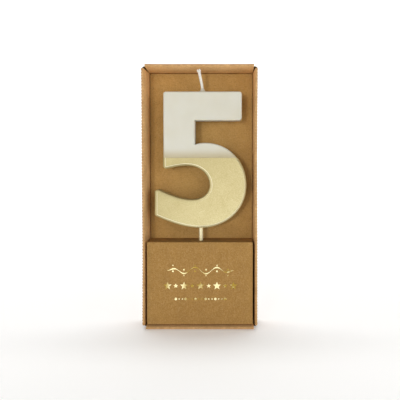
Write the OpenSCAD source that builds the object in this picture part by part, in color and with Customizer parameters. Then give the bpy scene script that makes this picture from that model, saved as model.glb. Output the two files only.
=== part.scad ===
// Number candle on a pick, standing in a card insert inside a fluted kraft presentation tray.
// Millimetres. The tray stands on its short end: +Z up, the open front faces -Y, +X to the right.
// The origin is the middle of the tray's footprint on the surface that it stands on.

/* [Number] */
// Height of the numeral
number_h = 82.7; // [68:0.1:100]
// Width of the numeral
number_w = 55.6; // [46:0.1:68]
// Thickness of the numeral, front to back
number_t = 10; // [8:0.1:13]
// Height of the top bar
bar_h = 17.5; // [12:0.1:20]
// Clear height between the top bar and the bowl
notch_h = 13.6; // [9:0.1:16]
// Width of the upright stem
stem_w = 19.2; // [15:0.1:22]
// Width of the bowl's stroke at its right side
bowl_side_w = 22; // [17:0.1:25]
// Height of the bowl's stroke at its top
bowl_top_w = 13.6; // [10:0.1:15]
// Height of the bowl's stroke at its bottom
bowl_foot_w = 16.7; // [14:0.1:18]
// Radius of the softened edge around both faces
edge_r = 0.8; // [0.4:0.1:1.2]
// Height of the dip line above the numeral's foot
dip_h = 42.4; // [30:0.1:50]
// Thickness of the dipped gold coat
coat_t = 0.25; // [0.15:0.05:0.4]

/* [Wick] */
// Diameter of the waxed wick
wick_d = 1.6; // [1.2:0.1:2]
// How far the wick stands above the numeral
wick_rise = 12.75; // [10:0.05:16]
// Angle that the wick leans forward at its tip
wick_lean = 42; // [20:1:48]
// Angle that the lean is turned to the left of straight ahead
wick_turn = 12; // [0:1:30]
// Length of wick cast into the wax
wick_root = 9; // [6:0.5:12]

/* [Pick] */
// Diameter of the pick
pick_d = 2.5; // [2:0.1:3]
// Overall length of the pick
pick_len = 60; // [50:1:66]
// Length of pick cast into the wax
pick_root = 14; // [10:0.5:15]
// Length of pick that shows above the ledge
pick_show = 8.6; // [7:0.1:12]
// Length of the pick's pointed end
pick_point = 5; // [3:0.5:8]
// Radial clearance of the pick in the ledge
pick_gap = 0.25; // [0.2:0.05:0.4]

/* [Insert] */
// Thickness of the insert's kraft card
card_t = 0.5; // [0.4:0.05:0.7]
// Height of the pocket
pocket_h = 50.2; // [42:0.1:60]
// Depth of the pocket, from the back panel to its front face
pocket_d = 19.2; // [17:0.1:24]
// Clearance between the pocket and the tray's walls at each side
pocket_gap = 0.5; // [0.4:0.1:0.8]
// Clearance between the insert and the tray
insert_gap = 0.3; // [0.2:0.05:0.5]
// Thickness of the foil pressed on the front panel
foil_t = 0.1; // [0.1:0.05:0.15]

/* [Tray] */
// Thickness of the tray's fluted board
board_t = 0.7; // [0.5:0.05:0.9]
// How far the foot of each rolled wall leans in, past three layers of board
wall_lean = 0.3; // [0.2:0.05:0.8]
// Clear width at each side of the numeral
side_room = 4.8; // [3.5:0.1:8]
// Clear depth behind the numeral
back_room = 5.9; // [5:0.1:8]
// Clear height above the wick
head_room = 0.65; // [0.3:0.05:3]
// Depth of the pocket's front face below the rim
rim_gap = 1.3; // [0.8:0.1:3]
// How far the rolled rims stop short of each corner
corner_cut = 2; // [1.6:0.1:2.4]
// Length of each corner tab inside an end wall
tab_len = 20; // [14:0.5:26]
// Depth of the tabs' top edge below the rim
tab_drop = 5; // [3:0.5:8]

/* [Hidden] */
$fn = 48;

kraft = "#a67c48";
kraft_light = "#c8a06c";
ivory = "#dad6c9";
gold = "#d6ca97";
foil = "#c9b26a";
wick_white = "#cbc5b4";

// The tray is sized around what it holds: numeral, wick, pick and pocket
wall_t = 3 * board_t + wall_lean;
tray_w = number_w + 2 * side_room + 2 * wall_t;
tray_d = board_t + insert_gap + card_t + pocket_d + rim_gap;
floor_z = wall_t + insert_gap;
ledge_z = floor_z + pocket_h;
number_z = ledge_z + pick_show;
wick_z = number_z + number_h;
ceiling_z = wick_z + wick_rise + head_room;
tray_h = ceiling_z + wall_t;
rim_y = -tray_d / 2;
base_y = tray_d / 2 - board_t;
panel_y = base_y - insert_gap - card_t;
front_y = panel_y - pocket_d;
panel_w = tray_w - 2 * wall_t - 2 * insert_gap;
pocket_w = tray_w - 2 * wall_t - 2 * pocket_gap;
number_y = panel_y - back_room - number_t / 2;
number_x = 0.3;
wick_x = number_x + 1;
dip_z = number_z + dip_h;

// Landmarks of the numeral, from its left edge and its foot
bowl_h = number_h - bar_h - notch_h;
bar_left = 5.2;
bar_right = number_w - 2.6;
stem_right = bar_left + stem_w;
bowl_mid = bowl_h / 2;
crest = [stem_right + 6.4, bowl_h];
notch_foot = [stem_right, bowl_h - 1];
bowl_right = [number_w, bowl_mid];
bowl_foot = [number_w / 2, 0];
tail_low = [0, 0.143 * bowl_h];
tail_high = [0, 0.463 * bowl_h];
counter_foot = [number_w / 2 - 5, bowl_foot_w];
counter_right = [number_w - bowl_side_w, bowl_mid];
counter_top = [stem_right - 4.9, bowl_h - bowl_top_w];
stem_foot = [bar_left, bowl_h - bowl_top_w - 2.3];
quadrant = 0.57; // how full the bowl's curves are: 0.55 is a true ellipse
edge_steps = 2; // steps in the softened edge

// Points of a cubic curve from a to b with handles u and v, leaving out b itself
function curve(a, u, v, b, n = 8) = [
  for (i = [0:n - 1])
    let (t = i / n, s = 1 - t)
      s * s * s * a + 3 * s * s * t * u + 3 * s * t * t * v + t * t * t * b
];

// A quarter bend that leaves a along x and reaches b along z
function bend_xz(a, b) =
  curve(a, [a.x + quadrant * (b.x - a.x), a.y], [b.x, b.y - quadrant * (b.y - a.y)], b);

// A quarter bend that leaves a along z and reaches b along x
function bend_zx(a, b) =
  curve(a, [a.x, a.y + quadrant * (b.y - a.y)], [b.x - quadrant * (b.x - a.x), b.y], b);

// The numeral's outline, clockwise from its top left corner
outline = concat(
  [[bar_left, number_h], [bar_right, number_h]],
  [[bar_right, number_h - bar_h], [stem_right, number_h - bar_h]],
  curve(notch_foot, notch_foot + [2.5, 0.8], crest - [2.5, 0], crest, 3),
  bend_xz(crest, bowl_right),
  bend_zx(bowl_right, bowl_foot),
  curve(bowl_foot, bowl_foot - [10, 0], tail_low + [8, -3.5], tail_low),
  [tail_low],
  curve(tail_high, tail_high + [7, -3.4], counter_foot - [8, 0], counter_foot),
  bend_xz(counter_foot, counter_right),
  bend_zx(counter_right, counter_top),
  curve(counter_top, counter_top - [5, 0], stem_foot + [4, 0.9], stem_foot, 4),
  [stem_foot]
);

function unit(v) = v / norm(v);

// A clockwise outline with every side moved inwards by d
function inset(pts, d) =
  let (n = len(pts))
    [
      for (i = [0:n - 1])
        let (
          a = unit(pts[i] - pts[(i + n - 1) % n]),
          b = unit(pts[(i + 1) % n] - pts[i]),
          side = [a.y + b.y, -a.x - b.x],
          reach = 1 + a * b
        )
          pts[i] + d * side / reach
    ];

// Extrudes an outline drawn in X and Z over a depth of t, centred on y
module upright(y, t) {
  translate([0, y + t / 2, 0])
    rotate([90, 0, 0])
      linear_extrude(t)
        children();
}

// The numeral's body with softened edges, grown by extra on every side
module number_body(extra) {
  for (k = [0:edge_steps]) {
    turn = 90 * k / edge_steps;
    upright(number_y, number_t + 2 * extra - 2 * edge_r * (1 - sin(turn)))
      translate([number_x - number_w / 2, number_z])
        polygon(inset(outline, edge_r * (1 - cos(turn)) - extra));
  }
}

module pick_shank() {
  translate([number_x, number_y, number_z + pick_root - pick_len]) {
    translate([0, 0, pick_point])
      cylinder(d = pick_d, h = pick_len - pick_point);
    cylinder(d1 = 0.6, d2 = pick_d, h = pick_point);
  }
}

// The wick: a straight root in the wax, a bend just above it and a straight free end.
// Its points lie in the plane that it leans in: forward from the root, then up.
bend_r = 8;
bend_steps = 3;
free_len = (wick_rise - (bend_r + wick_d / 2) * sin(wick_lean)) / cos(wick_lean);
bend_end = bend_r * [1 - cos(wick_lean), sin(wick_lean)];
wick_points = concat(
  [[0, -wick_root]],
  [
    for (i = [0:bend_steps])
      let (a = wick_lean * i / bend_steps)
        bend_r * [1 - cos(a), sin(a)]
  ],
  [bend_end + free_len * [sin(wick_lean), cos(wick_lean)]]
);
knee_r = wick_d / 2 + 0.02; // a knee is a touch fuller than the wick, so it closes each turn

module wick_rod() {
  translate([wick_x, number_y, wick_z])
    rotate([0, 0, -90 - wick_turn])
      for (i = [0:len(wick_points) - 2]) {
        run = wick_points[i + 1] - wick_points[i];
        translate([wick_points[i].x, 0, wick_points[i].y]) {
          rotate([0, atan2(run.x, run.y), 0])
            cylinder(d = wick_d, h = norm(run));
          if (i > 0)
            sphere(r = knee_r);
        }
      }
}

module wax_number() {
  color(ivory)
    difference() {
      union() {
        number_body(0);
        translate([wick_x, number_y, wick_z])
          cylinder(r1 = 2.1, r2 = wick_d / 2 + 0.1, h = 1);
      }
      pick_shank();
      wick_rod();
    }
}

module gold_dip_coat() {
  color(gold)
    difference() {
      intersection() {
        number_body(coat_t);
        translate([-tray_w / 2, rim_y, 0])
          cube([tray_w, tray_d, dip_z]);
      }
      number_body(0);
      pick_shank();
    }
}

module wick() {
  color(wick_white)
    wick_rod();
}

module pick() {
  color(gold)
    pick_shank();
}

// Profiles of a rolled wall: u runs in from the outer face, v runs back from the rim
function arc(c, r, from, to, n = 4) =
  [for (i = [0:n]) c + r * [cos(from + (to - from) * i / n), sin(from + (to - from) * i / n)]];

// The outer board comes up from the base and rolls over at the rim
module outer_board() {
  polygon(concat(
    arc([board_t, board_t], board_t, 180, 360, 8),
    [[board_t, board_t], [board_t, tray_d]],
    arc([board_t, tray_d - board_t], board_t, 90, 180)
  ));
}

// The inner board goes on down from the roll and stands on the base. In a side wall it
// leans in evenly.
module side_inner_board() {
  polygon([
    [board_t, board_t],
    [2 * board_t, board_t],
    [wall_t, tray_d - board_t],
    [wall_t - board_t, tray_d - board_t]
  ]);
}

// In an end wall it has cleared the corner tabs' thickness by the depth of their top edge
module end_inner_board() {
  polygon([
    [board_t, board_t],
    [2 * board_t, board_t],
    [3 * board_t, tab_drop],
    [wall_t, tray_d - board_t],
    [wall_t - board_t, tray_d - board_t],
    [2 * board_t, tab_drop]
  ]);
}

// A board with the profile given, along X from 0 to length, outer face at z = 0, ends mitred
mitre_gap = 0.15;

module wall(length) {
  straight = wall_t + mitre_gap;
  intersection() {
    translate([0, rim_y, 0])
      rotate([90, 0, 90])
        linear_extrude(length)
          mirror([1, -1])
            children();
    upright(0, tray_d)
      polygon([
        [corner_cut, 0],
        [length - corner_cut, 0],
        [length - corner_cut, corner_cut - mitre_gap],
        [length - straight, wall_t],
        [straight, wall_t],
        [corner_cut, corner_cut - mitre_gap]
      ]);
  }
}

module bottom_wall() {
  color(kraft_light)
    translate([-tray_w / 2, 0, 0])
      wall(tray_w)
        children();
}

module top_wall() {
  translate([0, 0, tray_h])
    mirror([0, 0, 1])
      bottom_wall()
        children();
}

module left_wall() {
  color(kraft_light)
    translate([-tray_w / 2, 0, 0])
      mirror([1, 0, -1])
        wall(tray_h)
          children();
}

module right_wall() {
  mirror([1, 0, 0])
    left_wall()
      children();
}

module tray_base() {
  color(kraft_light)
    translate([-tray_w / 2 + board_t, base_y, board_t])
      cube([tray_w - 2 * board_t, board_t, tray_h - 2 * board_t]);
}

module tray_left_wall() {
  left_wall()
    outer_board();
}

module tray_right_wall() {
  right_wall()
    outer_board();
}

module tray_top_wall() {
  top_wall()
    outer_board();
}

module tray_bottom_wall() {
  bottom_wall()
    outer_board();
}

module tray_left_inner_wall() {
  left_wall()
    side_inner_board();
}

module tray_right_inner_wall() {
  right_wall()
    side_inner_board();
}

module tray_top_inner_wall() {
  top_wall()
    end_inner_board();
}

module tray_bottom_inner_wall() {
  bottom_wall()
    end_inner_board();
}

// A corner tab: it leaves the side wall's outer board, turns the corner and
// tucks between the two boards of the end wall, below the rim

module corner_tab() {
  turn_r = corner_cut - board_t;
  color(kraft)
    translate([-tray_w / 2, 0, 0])
      upright((rim_y + tab_drop + base_y) / 2, base_y - rim_y - tab_drop)
        polygon(concat(
          arc([turn_r, corner_cut], turn_r, 180, 270),
          [[tab_len, board_t], [tab_len, 2 * board_t], [board_t, 2 * board_t], [board_t, corner_cut]]
        ));
}

module tab_bottom_left() {
  corner_tab();
}

module tab_bottom_right() {
  mirror([1, 0, 0])
    corner_tab();
}

module tab_top_left() {
  translate([0, 0, tray_h])
    mirror([0, 0, 1])
      corner_tab();
}

module tab_top_right() {
  mirror([1, 0, 0])
    tab_top_left();
}

// The insert: one card folded into a back panel and a pocket
module insert_back_panel() {
  color(kraft)
    translate([-panel_w / 2, panel_y, floor_z])
      cube([panel_w, card_t, ceiling_z - insert_gap - floor_z]);
}

module pocket_ledge() {
  color(kraft)
    difference() {
      translate([-pocket_w / 2, front_y, ledge_z - card_t])
        cube([pocket_w, pocket_d, card_t]);
      translate([number_x, number_y, ledge_z - 2 * card_t])
        cylinder(r = pick_d / 2 + pick_gap, h = 3 * card_t);
    }
}

module pocket_front_panel() {
  color(kraft)
    translate([-pocket_w / 2, front_y, floor_z])
      cube([pocket_w, card_t, pocket_h - card_t]);
}

module pocket_side() {
  color(kraft)
    translate([-pocket_w / 2, front_y + card_t, floor_z])
      cube([card_t, pocket_d - card_t, pocket_h - card_t]);
}

module pocket_left_side() {
  pocket_side();
}

module pocket_right_side() {
  mirror([1, 0, 0])
    pocket_side();
}

module pocket_floor() {
  color(kraft)
    translate([-pocket_w / 2 + card_t, front_y + card_t, floor_z])
      cube([pocket_w - 2 * card_t, pocket_d - card_t, card_t]);
}

// Foil ornaments on the front panel, each placed by its middle below the ledge
foil_x = 0.4;
vine_drop = 17.2;
star_drop = 26.6;
dot_drop = 34.6;

module foil_at(drop) {
  color(foil)
    upright(front_y - foil_t / 2, foil_t)
      translate([foil_x, ledge_z - drop])
        children();
}

vine_w = 40;
vine_h = 4;
vine_waves = 3;
vine_steps = 60;

function vine_point(u) =
  [vine_w * (u - 0.5), vine_h / 2 * sin(360 * vine_waves * u) * (1 - pow(2 * u - 1, 4))];

// Half the stem's width: thin where it climbs and full on the turns, as a pen draws it
function vine_half(u) = 0.16 + 0.26 * pow(sin(360 * vine_waves * u), 2);

module foil_vine() {
  foil_at(vine_drop) {
    polygon(concat(
      [for (i = [0:vine_steps]) let (u = i / vine_steps) vine_point(u) + [0, vine_half(u)]],
      [for (i = [vine_steps:-1:0]) let (u = i / vine_steps) vine_point(u) - [0, vine_half(u)]]
    ));
    for (k = [0:2 * vine_waves - 1]) {
      up = k % 2 == 0 ? 1 : -1;
      translate([vine_w * ((k + 0.5) / (2 * vine_waves) - 0.5), -up * vine_h / 8])
        circle(r = 0.55);
      translate([vine_w * ((k + 0.5) / (2 * vine_waves) - 0.5), up * vine_h * 0.78])
        circle(r = 0.35);
    }
  }
}

// A five-pointed star of outer radius r
module star(r) {
  polygon([
    for (i = [0:9])
      (i % 2 == 0 ? r : 0.42 * r) * [sin(36 * i), cos(36 * i)]
  ]);
}

star_pitch = 5;
star_count = 9;

module foil_star_row() {
  foil_at(star_drop)
    for (i = [0:star_count - 1])
      translate([star_pitch * (i - (star_count - 1) / 2), 0])
        star(i % 2 == 0 ? 2.6 : 1.5);
}

dot_pitch = 2;
dot_count = 16;

module foil_dot_row() {
  foil_at(dot_drop)
    for (i = [0:dot_count - 1])
      translate([dot_pitch * (i - (dot_count - 1) / 2), 0])
        circle(r = i % 3 == 0 ? 0.8 : 0.4);
}

tray_base();
tray_left_wall();
tray_right_wall();
tray_top_wall();
tray_bottom_wall();
tray_left_inner_wall();
tray_right_inner_wall();
tray_top_inner_wall();
tray_bottom_inner_wall();
tab_bottom_left();
tab_bottom_right();
tab_top_left();
tab_top_right();
insert_back_panel();
pocket_ledge();
pocket_front_panel();
pocket_left_side();
pocket_right_side();
pocket_floor();
foil_vine();
foil_star_row();
foil_dot_row();
wax_number();
gold_dip_coat();
wick();
pick();
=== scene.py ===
# Numeral candle on a pick, in a card insert inside a kraft presentation tray.
import math
import bmesh
import bpy
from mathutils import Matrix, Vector


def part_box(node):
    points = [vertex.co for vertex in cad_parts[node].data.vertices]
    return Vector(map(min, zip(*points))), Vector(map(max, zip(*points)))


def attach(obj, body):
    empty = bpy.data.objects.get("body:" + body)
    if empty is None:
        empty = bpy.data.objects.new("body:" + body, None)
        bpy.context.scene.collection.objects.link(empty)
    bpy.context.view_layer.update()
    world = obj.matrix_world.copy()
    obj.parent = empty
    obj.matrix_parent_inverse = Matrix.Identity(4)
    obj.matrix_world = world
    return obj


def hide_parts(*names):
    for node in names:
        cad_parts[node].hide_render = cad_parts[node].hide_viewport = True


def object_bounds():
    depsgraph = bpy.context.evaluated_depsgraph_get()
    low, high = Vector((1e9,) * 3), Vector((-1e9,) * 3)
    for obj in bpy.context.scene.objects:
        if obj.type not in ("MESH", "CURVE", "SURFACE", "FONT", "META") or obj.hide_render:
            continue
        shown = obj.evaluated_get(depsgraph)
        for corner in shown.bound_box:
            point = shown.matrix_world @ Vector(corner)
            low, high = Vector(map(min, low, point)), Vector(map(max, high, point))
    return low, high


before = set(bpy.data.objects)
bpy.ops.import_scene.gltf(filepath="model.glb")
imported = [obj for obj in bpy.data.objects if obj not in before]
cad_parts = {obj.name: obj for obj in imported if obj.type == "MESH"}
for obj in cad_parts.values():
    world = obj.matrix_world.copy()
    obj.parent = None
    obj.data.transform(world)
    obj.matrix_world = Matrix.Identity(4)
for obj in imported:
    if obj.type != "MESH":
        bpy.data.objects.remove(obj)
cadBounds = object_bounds()
mm = 0.001
scene = bpy.context.scene


def hexToLinear(code):
    # sRGB hex to the linear colour that shaders take
    channels = [int(code[i:i + 2], 16) / 255 for i in (1, 3, 5)]
    linear = [c / 12.92 if c <= 0.04045 else ((c + 0.055) / 1.055) ** 2.4 for c in channels]
    return (*linear, 1.0)


def addNode(tree, kind, settings=None, inputs=None):
    # one node with its settings; each input takes a fixed value or the socket that feeds it
    node = tree.nodes.new(kind)
    for name, value in (settings or {}).items():
        setattr(node, name, value)
    for key, value in (inputs or {}).items():
        if isinstance(value, bpy.types.NodeSocket):
            tree.links.new(value, node.inputs[key])
        else:
            node.inputs[key].default_value = value
    return node


def newMaterial(name, settings):
    # a principled material with Object coordinates ready; returns its parts
    material = bpy.data.materials.new(name)
    material.use_nodes = True
    tree = material.node_tree
    shader = tree.nodes["Principled BSDF"]
    for key, value in settings.items():
        shader.inputs[key].default_value = value
    place = addNode(tree, "ShaderNodeTexCoord").outputs["Object"]
    return material, tree, shader, place


def dressShader(tree, shader, base, tints, reliefs=()):
    # lays tints over the base colour, real marks and painted light alike: (pattern, the values it runs
    # between, the shares of the tint there, colour); then stacks reliefs: (pattern, height in metres,
    # strength)
    tone = hexToLinear(base)
    for pattern, (fromLow, fromHigh), (toLow, toHigh), colour in tints:
        share = addNode(tree, "ShaderNodeMapRange", {"interpolation_type": "SMOOTHSTEP"},
                        {0: pattern, 1: fromLow, 2: fromHigh, 3: toLow, 4: toHigh}).outputs[0]
        tone = addNode(tree, "ShaderNodeMix", {"data_type": "RGBA"},
                       {0: share, 6: tone, 7: hexToLinear(colour)}).outputs[2]
    tree.links.new(tone, shader.inputs["Base Color"])
    for pattern, height, strength in reliefs:
        below = shader.inputs["Normal"]
        feeds = {"Height": pattern, "Distance": height, "Strength": strength}
        if below.is_linked:
            feeds["Normal"] = below.links[0].from_socket
        tree.links.new(addNode(tree, "ShaderNodeBump", None, feeds).outputs[0], below)


def linkMesh(name, meshData):
    piece = bpy.data.objects.new(name, meshData)
    scene.collection.objects.link(piece)
    return piece


def linkBuilt(name, bm):
    # turns a built mesh into a piece
    data = bpy.data.meshes.new(name)
    bm.to_mesh(data)
    bm.free()
    return linkMesh(name, data)


def finishPiece(piece, material, body, replaced=()):
    # gives a finished mesh its material, its body and its slot
    piece.data.materials.clear()
    piece.data.materials.append(material)
    for polygon in piece.data.polygons:
        polygon.use_smooth = True
        polygon.material_index = 0
    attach(piece, body)
    if replaced:
        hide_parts(*replaced)


def evaluated(piece):
    # the piece with its modifiers worked in, as a plain mesh
    bpy.context.view_layer.update()
    graph = bpy.context.evaluated_depsgraph_get()
    result = bpy.data.meshes.new_from_object(piece.evaluated_get(graph))
    piece.modifiers.clear()
    piece.data = result
    return piece


def faceFlatly(piece):
    # large flat faces keep their own shading and the narrow rounded edges blend between them
    weighted = piece.modifiers.new("facing", "WEIGHTED_NORMAL")
    weighted.weight = 100
    weighted.keep_sharp = True


def paintNode(name, material):
    # a CAD node whose shape is right takes the finished material
    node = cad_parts[name]
    node.data.materials.clear()
    node.data.materials.append(material)


# millimetres, degrees and shares of the frame; distance is from the tray's rim
view = {"x": 19.5, "z": 100.0, "distance": 327.0, "lens": 49.03, "shiftX": -0.08, "shiftY": -0.043,
        "pitch": 1.94, "sensor": 36.0, "nearest": 10.0}
rimY = cadBounds[0][1]
camera = bpy.data.objects.new("camera", bpy.data.cameras.new("camera"))
camera.data.lens = view["lens"]
camera.data.sensor_width = view["sensor"]
camera.data.shift_x = view["shiftX"]
camera.data.shift_y = view["shiftY"]
camera.data.clip_start = view["nearest"] * mm
camera.location = (view["x"] * mm, rimY - view["distance"] * mm, view["z"] * mm)
camera.rotation_euler = (math.radians(90 - view["pitch"]), 0, 0)
scene.collection.objects.link(camera)
scene.camera = camera
print("camera set")

# colours, and sizes in millimetres
kraftLook = {"dark": "#73522a", "pale": "#cba873", "rimBand": "#b08656", "liner": "#b08350", "speck": "#5d4022",
             "cloudSize": 7.0, "grainSize": 0.55, "uprightSize": 0.9, "levelSize": 0.8, "fibreDraw": 0.4,
             "speckSize": 2.2, "rimPatchSize": 2.2, "rimBandReach": 1.3, "flutePitch": 1.8}


def kraftMaterial(name, base, rimBanded=False, fluted=False):
    # unbleached kraft liner, calendered and uncoated: matt, with long pale and dark fibres,
    # cloudy formation and, where asked, the liner's tone on the outer faces and a ragged darker band
    # along the rim; its fibres are drawn about three times as coarse as real ones, so that they show
    material, tree, shader, place = newMaterial(name, {"Roughness": 0.86, "Specular IOR Level": 0.25})
    cloud = addNode(tree, "ShaderNodeTexNoise", None,
                    {"Vector": place, "Scale": 1 / (kraftLook["cloudSize"] * mm), "Detail": 3,
                     "Roughness": 0.55}).outputs[0]
    grain = addNode(tree, "ShaderNodeTexNoise", None,
                    {"Vector": place, "Scale": 1 / (kraftLook["grainSize"] * mm),
                     "Roughness": 0.6}).outputs[0]
    drawn = kraftLook["fibreDraw"]
    upright = addNode(tree, "ShaderNodeMapping", None, {"Vector": place, "Scale": (1, 1, drawn)}).outputs[0]
    level = addNode(tree, "ShaderNodeMapping", None, {"Vector": place, "Scale": (drawn, 1, 1)}).outputs[0]
    fibres = [addNode(tree, "ShaderNodeTexNoise", None,
                      {"Vector": run, "Scale": 1 / (size * mm), "Detail": 4, "Roughness": 0.7}).outputs[0]
              for run, size in ((upright, kraftLook["uprightSize"]), (level, kraftLook["levelSize"]))]
    speck = addNode(tree, "ShaderNodeTexVoronoi", None,
                    {"Vector": place, "Scale": 1 / (kraftLook["speckSize"] * mm)})
    tints = [(cloud, (0.3, 0.7), (0, 0.16), kraftLook["dark"]),
              (fibres[0], (0.52, 0.72), (0, 0.3), kraftLook["pale"]),
              (fibres[1], (0.52, 0.72), (0, 0.3), kraftLook["dark"]),
              (grain, (0.5, 0.7), (0, 0.28), kraftLook["pale"]),
              (grain, (0.5, 0.3), (0, 0.28), kraftLook["dark"]),
              (speck.outputs["Distance"], (0.05, 0.12), (0.45, 0), kraftLook["speck"])]
    reliefs = [(fibres[0], 0.03 * mm, 0.3), (cloud, 0.15 * mm, 0.08)]
    if rimBanded or fluted:
        split = addNode(tree, "ShaderNodeSeparateXYZ", None, {"Vector": place})
    if rimBanded:
        # a ragged band along the rim takes a darker tone
        ragged = addNode(tree, "ShaderNodeTexNoise", None,
                         {"Vector": place, "Scale": 1 / (kraftLook["rimPatchSize"] * mm), "Detail": 3}).outputs[0]
        rimPatch = addNode(tree, "ShaderNodeMapRange", None, {0: ragged, 1: 0.3, 2: 0.7, 3: 0.45, 4: 0.9})
        near = addNode(tree, "ShaderNodeMapRange", None,
                       {0: split.outputs[1], 1: rimY, 2: rimY + kraftLook["rimBandReach"] * mm, 3: 1.0, 4: 0.0})
        rimBand = addNode(tree, "ShaderNodeMath", {"operation": "MULTIPLY"},
                       {0: near.outputs[0], 1: rimPatch.outputs[0]})
        # the outer faces take the liner's kraft tone, so on the walls the paler base, which is painted light,
        # stays on the inner faces
        outside = addNode(tree, "ShaderNodeAttribute", {"attribute_name": "outerLiner"}).outputs["Fac"]
        tints.append((outside, (0, 1), (0, 1), kraftLook["liner"]))
        tints.append((rimBand.outputs[0], (0, 1), (0, 1), kraftLook["rimBand"]))
    if fluted:
        # the flutes show through the liner as a faint washboard
        turn = addNode(tree, "ShaderNodeMath", {"operation": "MULTIPLY"},
                       {0: split.outputs[2], 1: 2 * math.pi / (kraftLook["flutePitch"] * mm)})
        crest = addNode(tree, "ShaderNodeMath", {"operation": "SINE"}, {0: turn.outputs[0]})
        reliefs.append((crest.outputs[0], 0.03 * mm, 0.5))
    dressShader(tree, shader, base, tints, reliefs)
    return material


# painted light: the walls' base colour is far paler than the board, for light reaching the tray's inner faces
flutedKraftPaintedLight = kraftMaterial("microFluteKraftBoardPaintedLight", "#f9cc8f", rimBanded=True)
flutedBack = kraftMaterial("microFluteKraftLiner", "#a98051", fluted=True)
cardKraft = kraftMaterial("kraftCardstock", "#a57e44")
# painted light: the back panel is the same card as the front, coloured paler for light reaching the back of
# the tray
backKraftPaintedLight = kraftMaterial("kraftCardstockInsidePaintedLight", "#bf9758")
# painted shade: the corner tabs are coloured near black, for the deep shade in the tray's corners
tabKraftPaintedShade = kraftMaterial("microFluteKraftTabPaintedShade", "#33230f")


# colours, and sizes in millimetres; the darker tint above the dip line fades out over the given rise
waxLook = {"base": "#cfccbc", "cloud": "#d2d0c3", "dipTint": "#b3a377", "tintRise": 6.5, "tintShare": 0.78,
           "cloudSize": 14.0, "swellSize": 5.0, "grainSize": 0.8, "glowDepth": 1.5}


def waxMaterial():
    # paraffin blend poured in a mould: ivory, translucent, softly glossy, faintly uneven where it
    # cooled; just above the dip line it is tinted darker and khaki, fading out upwards
    material, tree, shader, place = newMaterial("castIvoryWax", {
        "Roughness": 0.42, "IOR": 1.44, "Subsurface Weight": 0.25,
        "Subsurface Scale": waxLook["glowDepth"] * mm, "Subsurface Radius": (1.0, 0.8, 0.55)})
    height = addNode(tree, "ShaderNodeSeparateXYZ", None, {"Vector": place}).outputs[2]
    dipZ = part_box("gold_dip_coat")[1].z
    cloud, swell, grain = [
        addNode(tree, "ShaderNodeTexNoise", None,
                {"Vector": place, "Scale": 1 / (waxLook[size] * mm)}).outputs[0]
        for size in ("cloudSize", "swellSize", "grainSize")]
    dressShader(tree, shader, waxLook["base"],
                [(cloud, (0.3, 0.7), (0, 1), waxLook["cloud"]),
                 # the wax just above the dip line is tinted darker and khaki, fading out upwards
                 (height, (dipZ, dipZ + waxLook["tintRise"] * mm), (waxLook["tintShare"], 0), waxLook["dipTint"])],
                [(swell, 0.25 * mm, 0.15), (grain, 0.03 * mm, 0.2)])
    return material


# colours, and sizes in millimetres; the painted shade fades from its share at its from value to none at its
# to value, taken across less up
# bead is the colour of the painted highlight along the numeral's edges
dipLook = {"base": "#c6b884", "cloud": "#cec28f", "glint": "#e0d6ac", "shade": "#aa9a62", "thin": "#8f8049",
           "bead": "#f9f3d6", "flakeSize": 0.5, "cloudSize": 11.0, "swellSize": 4.0, "thinFrom": -120.0,
           "thinTo": -50.0, "thinShare": 0.52}


def dipMaterial():
    # wax pigmented with champagne gold mica, dipped in one coat: a satin pearl with fine flake,
    # drawn about 0.5 mm across so that it shows, with painted shade darkening it towards the upper left
    material, tree, shader, place = newMaterial("dippedChampagneGoldWax", {
        "Metallic": 0.3, "Roughness": 0.46, "Coat Weight": 0.1, "Coat Roughness": 0.35})
    split = addNode(tree, "ShaderNodeSeparateXYZ", None, {"Vector": place})
    flake = addNode(tree, "ShaderNodeTexNoise", None,
                    {"Vector": place, "Scale": 1 / (dipLook["flakeSize"] * mm), "Roughness": 0.6}).outputs[0]
    cloud, swell = [
        addNode(tree, "ShaderNodeTexNoise", None,
                {"Vector": place, "Scale": 1 / (dipLook[size] * mm)}).outputs[0]
        for size in ("cloudSize", "swellSize")]
    # painted shade: the gold is darkened towards the upper left and left lighter towards the lower right
    lean = addNode(tree, "ShaderNodeMath", {"operation": "SUBTRACT"},
                   {0: split.outputs[0], 1: split.outputs[2]}).outputs[0]
    # painted highlight: the bead attribute lays a bright line along the numeral's edges
    bead = addNode(tree, "ShaderNodeAttribute", {"attribute_name": "bead"}).outputs["Fac"]
    thinRun = (dipLook["thinFrom"] * mm, dipLook["thinTo"] * mm)
    dressShader(tree, shader, dipLook["base"],
                [(cloud, (0.3, 0.7), (0, 1), dipLook["cloud"]),
                 (flake, (0.52, 0.68), (0, 0.5), dipLook["glint"]),
                 (flake, (0.48, 0.34), (0, 0.45), dipLook["shade"]),
                 (lean, thinRun, (dipLook["thinShare"], 0), dipLook["thin"]),
                 (bead, (0, 1), (0, 1), dipLook["bead"])],
                [(swell, 0.2 * mm, 0.12), (flake, 0.03 * mm, 0.35)])
    return material


# colours, and sizes in millimetres; a painted flash of reflected light lies at flashAt and then every
# flashEvery
foilLook = {"base": "#a98d3f", "flash": "#fff3bd", "flashEvery": 22.7, "flashAt": -14.2, "rippleSize": 3.0,
            "grainSize": 0.4}


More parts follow.
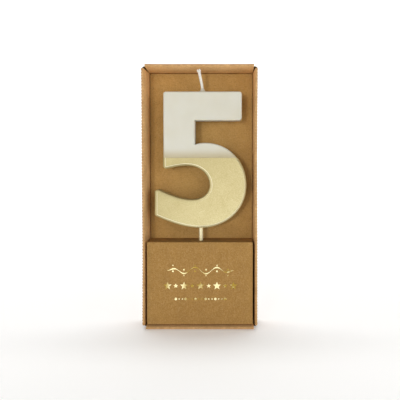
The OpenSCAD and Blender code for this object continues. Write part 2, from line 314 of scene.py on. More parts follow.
def foilMaterial():
    # hot-stamped metallised foil: a mirror that takes the card's grain; painted reflection in its colour
    # runs from a bright flash to dark olive and back along its length, with patches where it ripples
    material, tree, shader, place = newMaterial("hotStampedGoldFoil", {"Metallic": 1.0, "Roughness": 0.26})
    across = addNode(tree, "ShaderNodeSeparateXYZ", None, {"Vector": place}).outputs[0]
    fromFlash = addNode(tree, "ShaderNodeMath", {"operation": "SUBTRACT"},
                        {0: across, 1: foilLook["flashAt"] * mm}).outputs[0]
    turn = addNode(tree, "ShaderNodeMath", {"operation": "MULTIPLY"},
                   {0: fromFlash, 1: 2 * math.pi / (foilLook["flashEvery"] * mm)}).outputs[0]
    flash = addNode(tree, "ShaderNodeMath", {"operation": "COSINE"}, {0: turn}).outputs[0]
    ripple = addNode(tree, "ShaderNodeTexNoise", None,
                     {"Vector": place, "Scale": 1 / (foilLook["rippleSize"] * mm), "Detail": 1}).outputs[0]
    grain = addNode(tree, "ShaderNodeTexNoise", None,
                    {"Vector": place, "Scale": 1 / (foilLook["grainSize"] * mm), "Detail": 3}).outputs[0]
    # painted reflection: bright flashes along the foil and ripple patches in the flash colour
    dressShader(tree, shader, foilLook["base"], [(flash, (-0.35, 0.75), (0, 1), foilLook["flash"]),
                                                 (ripple, (0.5, 0.7), (0, 0.5), foilLook["flash"])],
                [(grain, 0.03 * mm, 0.3)])
    return material


# colours, and sizes in millimetres; draw is how far a streak is drawn out along the stick
pickLook = {"base": "#e9dda9", "streak": "#f5edc8", "streakSize": 1.5, "draw": 0.15}


def pickMaterial():
    # injection moulded polystyrene under a vacuum-metallised gold lacquer: smooth, satin
    material, tree, shader, place = newMaterial("lacqueredGoldPick", {
        "Metallic": 0.25, "Roughness": 0.36, "Coat Weight": 0.2, "Coat Roughness": 0.2})
    drawn = addNode(tree, "ShaderNodeMapping", None,
                    {"Vector": place, "Scale": (1, 1, pickLook["draw"])}).outputs[0]
    streak = addNode(tree, "ShaderNodeTexNoise", None,
                     {"Vector": drawn, "Scale": 1 / (pickLook["streakSize"] * mm)}).outputs[0]
    dressShader(tree, shader, pickLook["base"], [(streak, (0.35, 0.65), (0, 1), pickLook["streak"])],
                [(streak, 0.04 * mm, 0.2)])
    return material


# colours, and sizes in millimetres
wickLook = {"base": "#dcd9cf", "fibre": "#f6f4ed", "fibreSize": 0.25, "draw": 0.3, "glowDepth": 0.6}


def wickMaterial():
    # plaited cotton drawn through hot wax: off-white fibres under a dull skin
    material, tree, shader, place = newMaterial("waxedCottonPlait", {
        "Roughness": 0.62, "Subsurface Weight": 0.15, "Subsurface Scale": wickLook["glowDepth"] * mm})
    drawn = addNode(tree, "ShaderNodeMapping", None,
                    {"Vector": place, "Scale": (1, 1, wickLook["draw"])}).outputs[0]
    fibre = addNode(tree, "ShaderNodeTexNoise", None,
                    {"Vector": drawn, "Scale": 1 / (wickLook["fibreSize"] * mm), "Detail": 3}).outputs[0]
    dressShader(tree, shader, wickLook["base"], [(fibre, (0.35, 0.65), (0, 1), wickLook["fibre"])],
                [(fibre, 0.05 * mm, 0.5)])
    return material


ivoryWax = waxMaterial()
goldDip = dipMaterial()
goldFoil = foilMaterial()
goldPick = pickMaterial()
waxedCotton = wickMaterial()
print("materials made")

# millimetres: cut is where each wall stops short of the corner, mitre and seam the gap between
# two walls' ends deep in the tray and what the rim adds to it; bow is how far a long rim springs
# in at its middle, uneven by the ripple's share, and the top rim by topShare of that
tray = {"board": 0.7, "wall": 2.4, "cut": 2.3, "mitre": 0.04, "seam": 0.42, "tabDrop": 5.0,
        "boardGap": 0.02, "rollBack": 0.2, "fluteDepth": 0.035, "foldDepth": 0.12, "step": 0.3,
        "bow": 0.28, "ripple": 0.5, "ripples": 7.0, "topShare": 0.5,
        "phases": {"left": 0.4, "right": 2.6, "top": 1.3}, "rollFacets": 14, "runFacets": 12}
low, high = cadBounds
trayWidth = (high[0] - low[0]) / mm
trayDepth = (high[1] - low[1]) / mm
trayHeight = (high[2] - low[2]) / mm


def arcPoints(cx, cy, radius, start, end, count=6):
    # points on an arc from one angle to another, in degrees
    return [(cx + radius * math.cos(math.radians(start + (end - start) * i / count)),
             cy + radius * math.sin(math.radians(start + (end - start) * i / count)))
            for i in range(count + 1)]


def wallSection(kneed):
    # u runs in from the outer face and v back from the rim, in millimetres: the outer board, the
    # roll at the rim, and the inner board that leans in and stands on the base; an end wall's
    # inner board has a knee where it clears the corner tabs
    board, wide, deep = tray["board"], tray["wall"], trayDepth
    drop = tray["tabDrop"]
    points = arcPoints(board, board, board, 180, 360, tray["rollFacets"])
    knee = 3 * board if kneed else 2 * board + (wide - 2 * board) * drop / deep
    points += leanRun((2 * board, board), (knee, drop), (wide, deep - board))
    inside = board + tray["rollBack"]
    points += list(reversed(leanRun((board + tray["boardGap"], inside), (knee - board, drop),
                                    (wide - board, deep - board))))
    points += [(board, inside), (board, deep)]
    points += arcPoints(board, deep - board, board, 90, 180)
    return points + [(0, 4 * board), (0, 2 * board)]


def leanRun(top, bend, foot):
    # a board that leaves the rim at `top`, eases round `bend` and ends at `foot`
    points = []
    for i in range(1, tray["runFacets"] + 1):
        t = i / tray["runFacets"]
        s = 1 - t
        points.append(tuple(s * s * top[k] + 2 * s * t * bend[k] + t * t * foot[k] for k in (0, 1)))
    return points


def wallMesh(name, length, placePoint, kneed):
    # sweeps the section along the wall; each point stops at the mitre that its u calls for
    section = wallSection(kneed)
    stations = max(2, round(length / tray["step"]))
    bm = bmesh.new()
    linerLayer = bm.verts.layers.float.new("outerLiner")
    rings = []
    for i in range(stations + 1):
        ring = []
        for u, v in section:
            stop = max(tray["cut"], u + tray["mitre"] + tray["seam"] * max(0, 1 - v / tray["tabDrop"]))
            along = stop + (length - 2 * stop) * i / stations
            vert = bm.verts.new(placePoint(along, u, v))
            vert[linerLayer] = max(0, 1 - u / tray["board"])
            ring.append(vert)
        rings.append(ring)
    count = len(section)
    for a, b in zip(rings, rings[1:]):
        for k in range(count):
            bm.faces.new((a[k], a[(k + 1) % count], b[(k + 1) % count], b[k]))
    bm.faces.new(rings[0])
    bm.faces.new(list(reversed(rings[-1])))
    bmesh.ops.recalc_face_normals(bm, faces=bm.faces)
    return linkBuilt(name, bm)


def fluteTree():
    # presses the board's flutes through its liner: a wave along Z that only cuts in, deeper where
    # the rim is folded
    tree = bpy.data.node_groups.new("flutedRim", "GeometryNodeTree")
    face = tree.interface
    sockets = {}
    face.new_socket("Geometry", in_out="INPUT", socket_type="NodeSocketGeometry")
    for label in ("Flute pitch", "Flute depth", "Fold depth", "Rim place"):
        sockets[label] = face.new_socket(label, in_out="INPUT", socket_type="NodeSocketFloat").identifier
    sockets["Board"] = face.new_socket("Board", in_out="INPUT", socket_type="NodeSocketMaterial").identifier
    face.new_socket("Geometry", in_out="OUTPUT", socket_type="NodeSocketGeometry")
    start = addNode(tree, "NodeGroupInput")
    place = addNode(tree, "GeometryNodeInputPosition").outputs[0]
    split = addNode(tree, "ShaderNodeSeparateXYZ", None, {0: place})
    turns = addNode(tree, "ShaderNodeMath", {"operation": "DIVIDE"},
                    {0: split.outputs[2], 1: start.outputs["Flute pitch"]})
    angle = addNode(tree, "ShaderNodeMath", {"operation": "MULTIPLY"}, {0: turns.outputs[0], 1: 2 * math.pi})
    wave = addNode(tree, "ShaderNodeMath", {"operation": "COSINE"}, {0: angle.outputs[0]})
    inward = addNode(tree, "ShaderNodeMath", {"operation": "SUBTRACT"}, {0: wave.outputs[0], 1: 1.0})
    back = addNode(tree, "ShaderNodeMath", {"operation": "SUBTRACT"},
                   {0: split.outputs[1], 1: start.outputs["Rim place"]})
    depth = addNode(tree, "ShaderNodeMapRange", None,
                    {"Value": back.outputs[0], "From Min": tray["board"] * mm, "From Max": tray["wall"] * mm,
                     "To Min": start.outputs["Fold depth"], "To Max": start.outputs["Flute depth"]})
    reach = addNode(tree, "ShaderNodeMath", {"operation": "MULTIPLY"},
                    {0: inward.outputs[0], 1: depth.outputs[0]})
    normal = addNode(tree, "GeometryNodeInputNormal").outputs[0]
    offset = addNode(tree, "ShaderNodeVectorMath", {"operation": "SCALE"},
                     {0: normal, "Scale": reach.outputs[0]})
    moved = addNode(tree, "GeometryNodeSetPosition", None,
                    {"Geometry": start.outputs["Geometry"], "Offset": offset.outputs[0]})
    real = addNode(tree, "GeometryNodeRealizeInstances", None, {0: moved.outputs[0]})
    coated = addNode(tree, "GeometryNodeSetMaterial", None,
                     {"Geometry": real.outputs[0], "Material": start.outputs["Board"]})
    addNode(tree, "NodeGroupOutput", None, {0: coated.outputs[0]})
    return tree, sockets


flutes, fluteSockets = fluteTree()


def flute(piece):
    # puts the flutes on a side wall and leaves it a plain mesh
    modifier = piece.modifiers.new("flutes", "NODES")
    modifier.node_group = flutes
    modifier[fluteSockets["Flute pitch"]] = kraftLook["flutePitch"] * mm
    modifier[fluteSockets["Flute depth"]] = tray["fluteDepth"] * mm
    modifier[fluteSockets["Fold depth"]] = tray["foldDepth"] * mm
    modifier[fluteSockets["Rim place"]] = low[1]
    modifier[fluteSockets["Board"]] = flutedKraftPaintedLight
    return evaluated(piece)


def bow(along, length, v, phase):
    # how far the rim has sprung inwards; none at the corners or at the base
    t = along / length
    uneven = 1 + tray["ripple"] * math.sin(tray["ripples"] * t + phase)
    return tray["bow"] * math.sin(math.pi * t) * uneven * (1 - v / trayDepth)


# each takes a point's place along the wall, its u and its v, and gives its place in the tray
def leftPoint(along, u, v):
    sprung = u + bow(along, trayHeight, v, tray["phases"]["left"])
    return (low[0] + sprung * mm, low[1] + v * mm, low[2] + along * mm)


def rightPoint(along, u, v):
    sprung = u + bow(along, trayHeight, v, tray["phases"]["right"])
    return (high[0] - sprung * mm, low[1] + v * mm, low[2] + along * mm)


def bottomPoint(along, u, v):
    return (low[0] + along * mm, low[1] + v * mm, low[2] + u * mm)


def topPoint(along, u, v):
    sprung = u + tray["topShare"] * bow(along, trayWidth, v, tray["phases"]["top"])
    return (low[0] + along * mm, low[1] + v * mm, high[2] - sprung * mm)


for side, length, placePoint in (("left", trayHeight, leftPoint), ("right", trayHeight, rightPoint),
                                 ("bottom", trayWidth, bottomPoint), ("top", trayWidth, topPoint)):
    # an end wall's inner board is kneed to clear the corner tabs; the flutes show on the sides
    wall = wallMesh("tray_" + side + "_rolled_wall", length, placePoint, side in ("top", "bottom"))
    if side in ("left", "right"):
        wall = flute(wall)
    finishPiece(wall, flutedKraftPaintedLight, "tray",
                ["tray_" + side + "_wall", "tray_" + side + "_inner_wall"])
paintNode("tray_base", flutedBack)
for name in ("tab_bottom_left", "tab_bottom_right", "tab_top_left", "tab_top_right"):
    paintNode(name, tabKraftPaintedShade)
print("tray made")

pocket = {"card": 0.5, "fold": 0.3, "foldFacets": 4, "holeGap": 0.25, "holeFacets": 64, "drillDepth": 4.0}
paintNode("insert_back_panel", backKraftPaintedLight)
frontLow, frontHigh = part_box("pocket_front_panel")
ledgeLow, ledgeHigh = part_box("pocket_ledge")
pickLow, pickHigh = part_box("pick")


def pocketMesh():
    # one card folded into a box with no back: front, ledge, sides and floor with soft folds
    bm = bmesh.new()
    bmesh.ops.create_cube(bm, size=1)
    size = Vector((frontHigh.x - frontLow.x, ledgeHigh.y - ledgeLow.y, ledgeHigh.z - frontLow.z))
    middle = Vector(((frontLow.x + frontHigh.x) / 2, (ledgeLow.y + ledgeHigh.y) / 2,
                     (frontLow.z + ledgeHigh.z) / 2))
    for vert in bm.verts:
        vert.co = Vector([vert.co[i] * size[i] + middle[i] for i in range(3)])
    backFaces = [f for f in bm.faces if f.normal.y > 0.9]
    bmesh.ops.delete(bm, geom=backFaces, context="FACES_ONLY")
    folds = [e for e in bm.edges if len(e.link_faces) == 2]
    bmesh.ops.bevel(bm, geom=folds, offset=pocket["fold"] * mm, segments=pocket["foldFacets"],
                    profile=0.5, affect="EDGES")
    return linkBuilt("pocket_card", bm)


pocketPiece = pocketMesh()
thick = pocketPiece.modifiers.new("card", "SOLIDIFY")
thick.thickness = pocket["card"] * mm
thick.offset = -1
drill = bmesh.new()
holeRadius = (pickHigh.x - pickLow.x) / 2 + pocket["holeGap"] * mm
bmesh.ops.create_cone(drill, cap_ends=True, segments=pocket["holeFacets"], radius1=holeRadius,
                      radius2=holeRadius, depth=pocket["drillDepth"] * mm)
bmesh.ops.translate(drill, verts=drill.verts, vec=((pickLow.x + pickHigh.x) / 2,
                                                   (pickLow.y + pickHigh.y) / 2, ledgeHigh.z))
cutter = linkBuilt("hole_cutter", drill)
hole = pocketPiece.modifiers.new("hole", "BOOLEAN")
hole.object = cutter
hole.operation = "DIFFERENCE"
hole.solver = "EXACT"
pocketPiece = evaluated(pocketPiece)
bpy.data.objects.remove(cutter)
faceFlatly(pocketPiece)
finishPiece(pocketPiece, cardKraft, "insert",
            ["pocket_front_panel", "pocket_ledge", "pocket_left_side", "pocket_right_side", "pocket_floor"])
for name in ("foil_vine", "foil_star_row", "foil_dot_row"):
    paintNode(name, goldFoil)
print("insert made")

# millimetres, but tailLow and tailHigh are shares of the bowl's height; each pull is how far a
# bend's handle reaches from its point; the bead is a line with a small step a little in from the edge, where
# a painted highlight is laid
number = {"height": 82.7, "width": 55.6, "bar": 17.5, "notch": 13.6, "stem": 19.2, "barLeft": 5.2,
          "barRightIn": 2.6, "bowlSide": 22.0, "bowlTop": 13.6, "bowlFoot": 16.7, "notchDrop": 1.0,
          "crestIn": 6.4, "tailLow": 0.143, "tailHigh": 0.463, "counterFootIn": 5.0, "counterTopIn": 4.9,
          "stemDrop": 2.3, "notchPull": (2.5, 0.8), "footPull": 10.0, "tailLowPull": (8.0, 3.5),
          "tailHighPull": (7.0, 3.4), "counterFootPull": 8.0, "counterTopPull": 5.0, "stemPull": (4.0, 0.9),
          "edge": 0.85, "corner": 1.6, "innerCorner": 0.35, "leastCorner": 0.25, "clearOfCorner": 2.4,
          "beadInset": 1.25, "beadWidth": 0.5, "beadShift": 0.3, "step": 0.12, "coat": 0.22,
          "highlightLevel": 0.55, "highlightFacing": 0.45, "highlightLeft": 0.35, "brightFacing": (0.3, -0.95),
          "fullness": 0.57, "bendSteps": 28, "notchSteps": 8, "tailSteps": 24, "stemSteps": 12,
          "cornerFacets": 5, "waxFacets": 6, "dipFacets": 5}


def cubicPoints(a, u, v, b, count):
    # a bend from a to b with handles u and v, without its last point
    points = []
    for i in range(count):
        t = i / count
        s = 1 - t
        points.append(tuple(s ** 3 * a[k] + 3 * s * s * t * u[k] + 3 * s * t * t * v[k] + t ** 3 * b[k]
                            for k in (0, 1)))
    return points


def quarterBend(a, b, firstAxis):
    # a quarter bend that leaves a along firstAxis and reaches b along the other
    dx, dz = b[0] - a[0], b[1] - a[1]
    full, count = number["fullness"], number["bendSteps"]
    if firstAxis == "x":
        return cubicPoints(a, (a[0] + full * dx, a[1]), (b[0], b[1] - full * dz), b, count)
    return cubicPoints(a, (a[0], a[1] + full * dz), (b[0] - full * dx, b[1]), b, count)


def clearCorners(points, sharp, reach):
    # drops the points within reach of a sharp corner, and renumbers the corners
    count = len(points)
    near = set()
    for i in sharp:
        for j in range(i - 3, i + 4):
            k = j % count
            if k not in sharp and (Vector(points[k]) - Vector(points[i])).length < reach:
                near.add(k)
    kept = [k for k in range(count) if k not in near]
    return [points[k] for k in kept], [kept.index(i) for i in sharp]


def roundedCorners(points, sharp, inset):
    # swaps each sharp corner of an outline already moved in by `inset` for an arc
    result = []
    for i, point in enumerate(points):
        if i not in sharp:
            result.append(tuple(point))
            continue
        here = Vector(point)
        before = (Vector(points[i - 1]) - here).normalized()
        after = (Vector(points[(i + 1) % len(points)]) - here).normalized()
        outward = before.x * after.y - before.y * after.x > 0
        radius = number["innerCorner"] + inset
        if outward:
            radius = max(number["leastCorner"], number["corner"] - inset)
        half = before.angle(after) / 2
        middle = here + (before + after).normalized() * (radius / math.sin(half))
        start = here + before * (radius / math.tan(half)) - middle
        end = here + after * (radius / math.tan(half)) - middle
        sweep = start.angle_signed(end)
        steps = number["cornerFacets"]
        for k in range(steps + 1):
            turn = -sweep * k / steps
            result.append((middle.x + start.x * math.cos(turn) - start.y * math.sin(turn),
                           middle.y + start.x * math.sin(turn) + start.y * math.cos(turn)))
    return result


def numberOutline():
    # the numeral's outline, clockwise from its top left corner, in millimetres
    n = number
    bowl = n["height"] - n["bar"] - n["notch"]
    middle, stemRight = bowl / 2, n["barLeft"] + n["stem"]
    crest, bowlRight, bowlFoot = (stemRight + n["crestIn"], bowl), (n["width"], middle), (n["width"] / 2, 0)
    tailLow, tailHigh = (0, n["tailLow"] * bowl), (0, n["tailHigh"] * bowl)
    counterFoot = (n["width"] / 2 - n["counterFootIn"], n["bowlFoot"])
    counterRight = (n["width"] - n["bowlSide"], middle)
    counterTop = (stemRight - n["counterTopIn"], bowl - n["bowlTop"])
    stemFoot = (n["barLeft"], bowl - n["bowlTop"] - n["stemDrop"])
    notchFoot = (stemRight, bowl - n["notchDrop"])
    notchPull, stemPull = n["notchPull"], n["stemPull"]
    lowPull, highPull = n["tailLowPull"], n["tailHighPull"]
    # each run of points, and whether it starts at a sharp corner
    runs = [
        ([(n["barLeft"], n["height"])], True),
        ([(n["width"] - n["barRightIn"], n["height"])], True),
        ([(n["width"] - n["barRightIn"], n["height"] - n["bar"])], True),
        ([(stemRight, n["height"] - n["bar"])], True),
        (cubicPoints(notchFoot, (notchFoot[0] + notchPull[0], notchFoot[1] + notchPull[1]),
                     (crest[0] - notchPull[0], bowl), crest, n["notchSteps"]), True),
        (quarterBend(crest, bowlRight, "x"), False),
        (quarterBend(bowlRight, bowlFoot, "z"), False),
        (cubicPoints(bowlFoot, (bowlFoot[0] - n["footPull"], 0), (lowPull[0], tailLow[1] - lowPull[1]),
                     tailLow, n["bendSteps"]), False),
        ([tailLow], True),
        (cubicPoints(tailHigh, (highPull[0], tailHigh[1] - highPull[1]),
                     (counterFoot[0] - n["counterFootPull"], counterFoot[1]),
                     counterFoot, n["tailSteps"]), True),
        (quarterBend(counterFoot, counterRight, "x"), False),
        (quarterBend(counterRight, counterTop, "z"), False),
        (cubicPoints(counterTop, (counterTop[0] - n["counterTopPull"], counterTop[1]),
                     (stemFoot[0] + stemPull[0], stemFoot[1] + stemPull[1]),
                     stemFoot, n["stemSteps"]), False),
        ([stemFoot], True),
    ]
    points, sharp = [], []
    for run, startsSharp in runs:
        if startsSharp:
            sharp.append(len(points))
        points += run
    return clearCorners(points, sharp, n["clearOfCorner"])


def ringAt(points, sharp, distance):
    # the outline moved inwards by `distance`, with its corners rounded
    count = len(points)
    result = []
    for i in range(count):
        a = (Vector(points[i]) - Vector(points[i - 1])).normalized()
        b = (Vector(points[(i + 1) % count]) - Vector(points[i])).normalized()
        side = Vector((a.y + b.y, -a.x - b.x))
        result.append(Vector(points[i]) + side * (distance / (1 + a.dot(b))))
    return roundedCorners(result, sharp, distance)


def edgeProfile(beaded):
    # the mould's edge from the face outwards: (inset, depth, bead), inset and depth in millimetres, bead the
    # share of painted highlight
    n = number
    facets = n["dipFacets"] if beaded else n["waxFacets"]
    step = n["step"] if beaded else 0
    angles = [math.radians(90 * i / facets) for i in range(facets + 1)]
    rounded = [(n["edge"] * (1 - math.sin(a)), step + (n["edge"] - step) * (1 - math.cos(a)), 0)
               for a in angles]
    if not beaded:
        return rounded
    place, half = n["beadInset"], n["beadWidth"] / 2
    return [(place + 2 * half, 0, 0), (place + half, 0, 0), (place, 0, 1), (place - half, step, 0)] + rounded


def numberMesh(name, outset, cutAbove=None):
    # the numeral as rings through its thickness, with rounded edges and flat faces
    numberLow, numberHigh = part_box("wax_number")
    points, sharp = numberOutline()
    corner = Vector((numberLow.x, numberLow.z))
    frontY, backY = numberLow.y - outset * mm, numberHigh.y + outset * mm
    profile = edgeProfile(outset > 0)
    rows = [(frontY + depth * mm, inset, bead) for inset, depth, bead in profile]
    rows += [(backY - depth * mm, inset, 0) for inset, depth, bead in reversed(profile)]
    bm = bmesh.new()
    highlightLayer = bm.verts.layers.float.new("bead")
    # painted highlight: the bead line is brightest along edges that look down or left and dimmest along those
    # that look up, as the light catches them
    bright = []
    for outer, inner in zip(ringAt(points, sharp, 0), ringAt(points, sharp, 1)):
        out = (Vector(outer) - Vector(inner)).normalized()
        bright.append(number["highlightLevel"] + number["highlightFacing"] * out.dot(Vector(number["brightFacing"]))
                      + number["highlightLeft"] * max(0, -out.x))
    rings = []
    for y, inset, bead in rows:
        ring = []
        # the bead line lies further in from the left edges than from the right ones
        sideways = number["beadShift"] if inset > number["edge"] else 0
        for k, (x, z) in enumerate(ringAt(points, sharp, inset - outset)):
            vert = bm.verts.new((corner.x + (x + sideways) * mm, y, corner.y + (z - sideways / 2) * mm))
            vert[highlightLayer] = bead * bright[k]
            ring.append(vert)
        rings.append(ring)
    count = len(rings[0])
    for a, b in zip(rings, rings[1:]):
        for k in range(count):
            bm.faces.new((a[k], b[k], b[(k + 1) % count], a[(k + 1) % count]))
    bm.faces.new(rings[0])
    bm.faces.new(list(reversed(rings[-1])))
    if cutAbove is not None:
        everything = list(bm.verts) + list(bm.edges) + list(bm.faces)
        cut = bmesh.ops.bisect_plane(bm, geom=everything, plane_co=(0, 0, cutAbove), plane_no=(0, 0, 1),
                                     clear_outer=True)
        edges = [g for g in cut["geom_cut"] if isinstance(g, bmesh.types.BMEdge)]
        for edge in edges:
            edge.smooth = False
        bmesh.ops.holes_fill(bm, edges=edges)
    bmesh.ops.recalc_face_normals(bm, faces=bm.faces)
    piece = linkBuilt(name, bm)
    faceFlatly(piece)
    return piece


waxPiece = numberMesh("cast_wax_number", 0)
finishPiece(waxPiece, ivoryWax, "candle", ["wax_number"])
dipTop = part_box("gold_dip_coat")[1].z
dipPiece = numberMesh("gold_dip_skin", number["coat"], dipTop)
finishPiece(dipPiece, goldDip, "candle", ["gold_dip_coat"])
paintNode("pick", goldPick)
print("numeral made")

# millimetres and degrees; strand and wind are radii, and the fray widens the wind at the tip
wickPlan = {"bend": 8.0, "lean": 42.0, "turn": 12.0, "root": 4.0, "rise": 12.75, "radius": 0.8, "right": 1.0,
            "strand": 0.48, "wind": 0.4, "turns": 36.0, "spacing": 0.12, "fray": 2.0, "frayFrom": 0.9,
            "strands": 4, "strandFacets": 10, "bendSteps": 8}


def wickPath():
    # the wick's centre line: a straight root, a bend just above the wax and a straight free end
    waxLow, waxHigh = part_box("wax_number")
    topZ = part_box("wick")[1].z - wickPlan["rise"] * mm
    baseX = (waxLow.x + waxHigh.x) / 2 + wickPlan["right"] * mm
    baseY = (waxLow.y + waxHigh.y) / 2
    lean, bend = math.radians(wickPlan["lean"]), wickPlan["bend"]
    free = (wickPlan["rise"] - (bend + wickPlan["radius"]) * math.sin(lean)) / math.cos(lean)
    flat = [(0, -wickPlan["root"]), (0, -wickPlan["root"] / 2)]
    steps = wickPlan["bendSteps"]
    flat += [(bend * (1 - math.cos(lean * i / steps)), bend * math.sin(lean * i / steps))
             for i in range(steps + 1)]
    endX, endZ = flat[-1]
    flat += [(endX + free * f * math.sin(lean), endZ + free * f * math.cos(lean)) for f in (0.33, 0.66, 1.0)]
    turn = math.radians(wickPlan["turn"])
    return [Vector((baseX - math.sin(turn) * out * mm, baseY - math.cos(turn) * out * mm, topZ + up * mm))
            for out, up in flat]


def plaitTree():
    # winds strands round the wick's centre line
    tree = bpy.data.node_groups.new("plaitedWick", "GeometryNodeTree")
    face = tree.interface
    sockets = {}
    face.new_socket("Geometry", in_out="INPUT", socket_type="NodeSocketGeometry")
    for label in ("Strand radius", "Wind radius", "Turns", "Point spacing", "Fray"):
        sockets[label] = face.new_socket(label, in_out="INPUT", socket_type="NodeSocketFloat").identifier
    sockets["Cotton"] = face.new_socket("Cotton", in_out="INPUT", socket_type="NodeSocketMaterial").identifier
    face.new_socket("Geometry", in_out="OUTPUT", socket_type="NodeSocketGeometry")
    start = addNode(tree, "NodeGroupInput")
    path = addNode(tree, "GeometryNodeMeshToCurve", None, {0: start.outputs["Geometry"]})
    fine = addNode(tree, "GeometryNodeResampleCurve", {"mode": "LENGTH"},
                   {"Curve": path.outputs[0], "Length": start.outputs["Point spacing"]})
    share = addNode(tree, "GeometryNodeSplineParameter").outputs["Factor"]
    tangent = addNode(tree, "GeometryNodeInputTangent").outputs[0]
    normal = addNode(tree, "GeometryNodeInputNormal").outputs[0]
    across = addNode(tree, "ShaderNodeVectorMath", {"operation": "CROSS_PRODUCT"}, {0: tangent, 1: normal})
    spin = addNode(tree, "ShaderNodeMath", {"operation": "MULTIPLY"}, {0: share, 1: start.outputs["Turns"]})
    fray = addNode(tree, "ShaderNodeMapRange", None,
                   {"Value": share, "From Min": wickPlan["frayFrom"], "From Max": 1.0, "To Min": 1.0,
                    "To Max": start.outputs["Fray"]})
    wind = addNode(tree, "ShaderNodeMath", {"operation": "MULTIPLY"},
                   {0: fray.outputs[0], 1: start.outputs["Wind radius"]})
    joined = addNode(tree, "GeometryNodeJoinGeometry")
    ring = addNode(tree, "GeometryNodeCurvePrimitiveCircle", None,
                   {"Resolution": wickPlan["strandFacets"], "Radius": start.outputs["Strand radius"]})
    for strand in range(wickPlan["strands"]):
        phase = addNode(tree, "ShaderNodeMath", {"operation": "ADD"},
                        {0: spin.outputs[0], 1: strand * 2 * math.pi / wickPlan["strands"]})
        parts = []
        for operation, direction in (("COSINE", normal), ("SINE", across.outputs[0])):
            swing = addNode(tree, "ShaderNodeMath", {"operation": operation}, {0: phase.outputs[0]})
            reach = addNode(tree, "ShaderNodeMath", {"operation": "MULTIPLY"},
                            {0: swing.outputs[0], 1: wind.outputs[0]})
            parts.append(addNode(tree, "ShaderNodeVectorMath", {"operation": "SCALE"},
                                 {0: direction, "Scale": reach.outputs[0]}).outputs[0])
        offset = addNode(tree, "ShaderNodeVectorMath", {"operation": "ADD"}, {0: parts[0], 1: parts[1]})
        moved = addNode(tree, "GeometryNodeSetPosition", None,
                        {"Geometry": fine.outputs[0], "Offset": offset.outputs[0]})
        tube = addNode(tree, "GeometryNodeCurveToMesh", None,
                       {"Curve": moved.outputs[0], "Profile Curve": ring.outputs[0], "Fill Caps": True})
        tree.links.new(tube.outputs[0], joined.inputs[0])
    real = addNode(tree, "GeometryNodeRealizeInstances", None, {0: joined.outputs[0]})
    coated = addNode(tree, "GeometryNodeSetMaterial", None,
                     {"Geometry": real.outputs[0], "Material": start.outputs["Cotton"]})
    addNode(tree, "NodeGroupOutput", None, {0: coated.outputs[0]})
    return tree, sockets


def wickPiece():
    # the centre line as an edge chain, plaited by the tree
    path = wickPath()
    data = bpy.data.meshes.new("plaited_wick")
    data.from_pydata([tuple(p) for p in path], [(i, i + 1) for i in range(len(path) - 1)], [])
    piece = linkMesh("plaited_wick", data)
    tree, sockets = plaitTree()
    modifier = piece.modifiers.new("plait", "NODES")
    modifier.node_group = tree
    for label, value in (("Strand radius", wickPlan["strand"] * mm), ("Wind radius", wickPlan["wind"] * mm),
                         ("Turns", wickPlan["turns"]), ("Point spacing", wickPlan["spacing"] * mm),
                         ("Fray", wickPlan["fray"])):
        modifier[sockets[label]] = value
    modifier[sockets["Cotton"]] = waxedCotton
    return evaluated(piece)


finishPiece(wickPiece(), waxedCotton, "candle", ["wick"])


# radius and height in millimetres, from the wax up; follow leans the bead after the wick
collar = {"profile": [(3.2, -0.3), (2.7, 0.0), (2.1, 0.4), (1.65, 0.85), (1.3, 1.4), (1.12, 1.9), (0.98, 2.3),
                      (0.3, 2.5)], "wobble": 0.06, "lobes": 3, "follow": 0.0875, "segments": 48}


def collarPiece():
    # the bead of wax drawn up the wick where it was cast in
    base = wickPath()[2]
    bm = bmesh.new()
    rings = []
    segments = collar["segments"]
    for radius, height in collar["profile"]:
        ring = []
        for i in range(segments):
            a = 2 * math.pi * i / segments
            wobble = 1 + collar["wobble"] * math.sin(collar["lobes"] * a + 1)
            shift = -collar["follow"] * max(0, height) ** 2
            ring.append(bm.verts.new((base.x + radius * wobble * math.cos(a) * mm,
                                      base.y + (radius * wobble * math.sin(a) + shift) * mm,
                                      base.z + height * mm)))
        rings.append(ring)
    for a, b in zip(rings, rings[1:]):
        for k in range(segments):
            bm.faces.new((a[k], a[(k + 1) % segments], b[(k + 1) % segments], b[k]))
    bm.faces.new(list(reversed(rings[0])))
    bm.faces.new(rings[-1])
    bmesh.ops.recalc_face_normals(bm, faces=bm.faces)
    return linkBuilt("wick_wax_bead", bm)


finishPiece(collarPiece(), ivoryWax, "candle")
print("wick made")

# metres; below keeps the paper just under the tray's end; the sky's strength falls with height
stageSet = {"floor": 2.0, "back": 1.6, "curve": 0.5, "curveSteps": 12, "wall": 3.0, "below": 0.0002,
            "glow": 0.2, "tone": "#f4f3f1", "paleTone": "#fbfbfa", "skyLow": 0.78, "skyHigh": 0.26,
            "skyTop": 0.6}


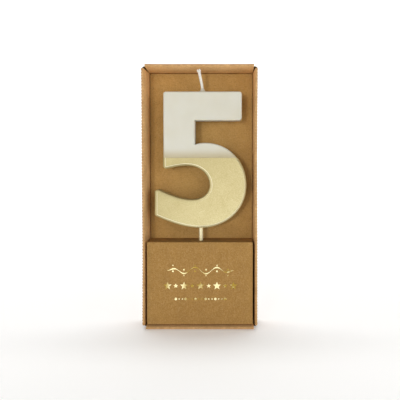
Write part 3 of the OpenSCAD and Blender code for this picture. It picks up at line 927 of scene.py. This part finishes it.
def backdrop():
    # a seamless sweep of translucent paper lit from behind as well: floor, curve and wall
    steps = stageSet["curveSteps"]
    profile = [(-stageSet["floor"], 0.0), (stageSet["back"], 0.0)]
    profile += [(stageSet["back"] + stageSet["curve"] * math.sin(math.radians(90 * i / steps)),
                 stageSet["curve"] * (1 - math.cos(math.radians(90 * i / steps))))
                for i in range(1, steps + 1)]
    profile.append((stageSet["back"] + stageSet["curve"], stageSet["wall"]))
    sides = (-stageSet["floor"], stageSet["floor"])
    verts = [(x, y, z - stageSet["below"]) for y, z in profile for x in sides]
    faces = [(2 * i, 2 * i + 1, 2 * i + 3, 2 * i + 2) for i in range(len(profile) - 1)]
    data = bpy.data.meshes.new("studio_sweep")
    data.from_pydata(verts, [], faces)
    piece = linkMesh("studio_sweep", data)
    material, tree, shader, place = newMaterial("litStudioPaper", {
        "Roughness": 0.9, "Emission Color": (1, 1, 1, 1), "Emission Strength": stageSet["glow"]})
    cloud = addNode(tree, "ShaderNodeTexNoise", None, {"Vector": place, "Scale": 2.5, "Detail": 1}).outputs[0]
    dressShader(tree, shader, stageSet["tone"], [(cloud, (0, 1), (0, 1), stageSet["paleTone"])])
    data.materials.append(material)


def softBox(name, place, aim, size, power, tone):
    lamp = bpy.data.lights.new(name, "AREA")
    lamp.shape = "RECTANGLE"
    lamp.size, lamp.size_y = size
    lamp.energy = power
    lamp.color = hexToLinear(tone)[:3]
    holder = bpy.data.objects.new(name, lamp)
    holder.location = place
    holder.rotation_euler = (Vector(aim) - Vector(place)).to_track_quat("-Z", "Y").to_euler()
    scene.collection.objects.link(holder)


# metres, watts; each lamp is at place and looks at aim
lamps = {"key": {"place": (-0.22, -1.0, 0.16), "aim": (0, 0, 0.09), "size": (0.11, 0.11), "power": 2.1,
                 "tone": "#fffdf8"},
         "fill": {"place": (0.7, -0.6, 0.15), "aim": (0, 0, 0.09), "size": (0.5, 0.5), "power": 1.0,
                  "tone": "#fdfdff"},
         "front": {"place": (0.2, -1.1, 0.19), "aim": (0, 0, 0.09), "size": (1.5, 0.7), "power": 2.5,
                   "tone": "#ffffff"},
         "backdrop": {"place": (0, 0.4, 1.6), "aim": (0, 1.6, 0.3), "size": (2.0, 0.6), "power": 22,
                      "tone": "#ffffff"}}
backdrop()
for name, lamp in lamps.items():
    softBox(name + "_soft_box", **lamp)
world = bpy.data.worlds.new("studio")
scene.world = world
world.use_nodes = True
around = world.node_tree
direction = addNode(around, "ShaderNodeTexCoord").outputs["Generated"]
height = addNode(around, "ShaderNodeSeparateXYZ", None, {"Vector": direction}).outputs[2]
glow = addNode(around, "ShaderNodeMapRange", {"interpolation_type": "SMOOTHSTEP"},
               {0: height, 1: 0.0, 2: stageSet["skyTop"], 3: stageSet["skyLow"],
                4: stageSet["skyHigh"]}).outputs[0]
around.links.new(glow, around.nodes["Background"].inputs["Strength"])
around.nodes["Background"].inputs["Color"].default_value = (1, 1, 1, 1)
scene.view_settings.view_transform = "Standard"
print("stage lit")
